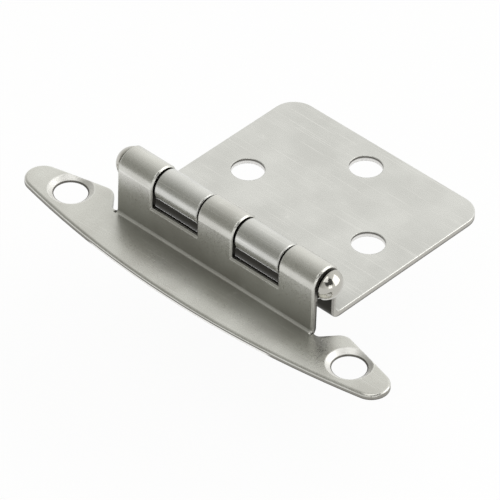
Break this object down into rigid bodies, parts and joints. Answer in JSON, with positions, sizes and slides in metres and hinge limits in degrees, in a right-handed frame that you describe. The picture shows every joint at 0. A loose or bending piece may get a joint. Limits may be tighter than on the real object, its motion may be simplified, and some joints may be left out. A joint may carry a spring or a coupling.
{
  "type": "surface mount hinge",
  "caption": "Cabinet hinge with a boat-shaped frame wing and a rectangular door leaf, joined by curled knuckles on a pin with domed heads.",
  "frame": {"origin": "in the plane that the frame wing is screwed down on, midway between its two screw holes", "axes": "+X along the pin, +Y from the frame wing over the door leaf, +Z away from the mounting plane"},
  "size_m": [0.0702, 0.0459, 0.0113],
  "materials": {
    "satin_nickel_wing": "satin nickel plate on steel",
    "satin_nickel_leaf": "satin nickel plate on steel",
    "bright_nickel_pin": "bright nickel plate on steel"
  },
  "bodies": {
    "wing": {"frame_wing": "satin_nickel_wing", "hinge_pin": "bright_nickel_pin"},
    "leaf": {"door_leaf": "satin_nickel_leaf"}
  },
  "joints": [
    {"name": "leaf_swing", "type": "hinge", "parent": "wing", "child": "leaf", "pos_m": [0, 0.0038, 0.0086], "axis": [1, 0, 0], "range_deg": [-25, 245]}
  ]
}
